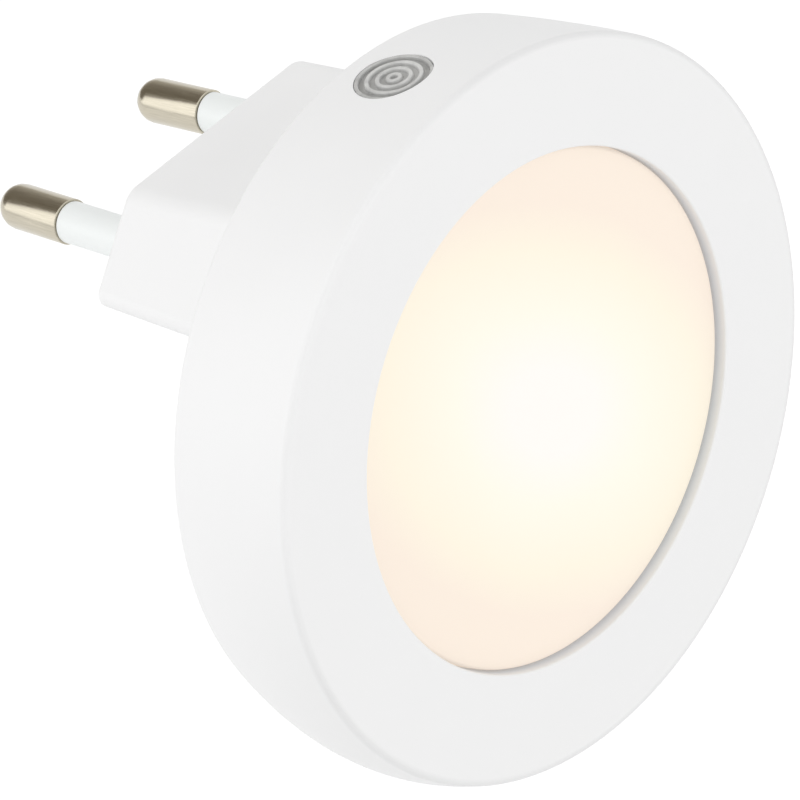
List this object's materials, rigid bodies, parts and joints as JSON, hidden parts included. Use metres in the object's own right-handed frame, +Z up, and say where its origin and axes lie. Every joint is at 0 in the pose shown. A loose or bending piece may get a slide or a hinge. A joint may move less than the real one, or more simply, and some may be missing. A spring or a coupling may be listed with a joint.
{
  "type": "plug-in night light",
  "caption": "Round plug-in night light with a glowing opal middle, a ringed light-sensor window in its rim and a tapered plug block with two round pins behind.",
  "frame": {"origin": "middle of the plug face, between the two pins", "axes": "+Y into the wall along the plug, -Y into the room, +Z up; the sensor window is on top of the rim"},
  "size_m": [0.0642, 0.0513, 0.0645],
  "materials": {
    "white_housing": "fine satin white moulding",
    "white_cover": "fine satin white moulding",
    "opal_diffuser": "opal, lit warm white from behind",
    "clear_window": "clear ringed lens",
    "nickel_pin": "bright nickel plate on brass",
    "pin_sleeve": "white insulation",
    "carrier_plastic": "natural white moulding",
    "lug_brass": "bare brass",
    "live_wire": "brown wire insulation",
    "neutral_wire": "blue wire insulation",
    "board_green": "green solder mask",
    "sheet_film": "thin fibre film",
    "led_body": "white body with a yellow lens",
    "reflector_white": "bright white moulding",
    "ring_white": "white moulding",
    "cell_ceramic": "glazed disc",
    "shroud_black": "black moulding",
    "film_yellow": "dipped film block",
    "can_black": "black shrink sleeve",
    "chip_black": "black moulding compound",
    "fuse_grey": "coated body",
    "screw_steel": "zinc plated"
  },
  "bodies": {
    "root": {"front_housing": "white_housing", "rear_cover": "white_cover", "diffuser": "opal_diffuser", "sensor_window": "clear_window", "pin_left": "nickel_pin", "pin_right": "nickel_pin", "sleeve_left": "pin_sleeve", "sleeve_right": "pin_sleeve", "pin_carrier": "carrier_plastic", "contact_lug_left": "lug_brass", "contact_lug_right": "lug_brass", "lead_left": "live_wire", "lead_right": "neutral_wire", "circuit_board": "board_green", "insulation_sheet": "sheet_film", "leds": "led_body", "reflector": "reflector_white", "clamp_ring": "ring_white", "photocell": "cell_ceramic", "sensor_shroud": "shroud_black", "drop_capacitor": "film_yellow", "smoothing_capacitor": "can_black", "bridge_rectifier": "chip_black", "fuse_resistor": "fuse_grey", "switching_transistor": "chip_black", "chip_resistors": "chip_black", "board_screws": "screw_steel", "cover_screws": "screw_steel"}
  },
  "joints": []
}
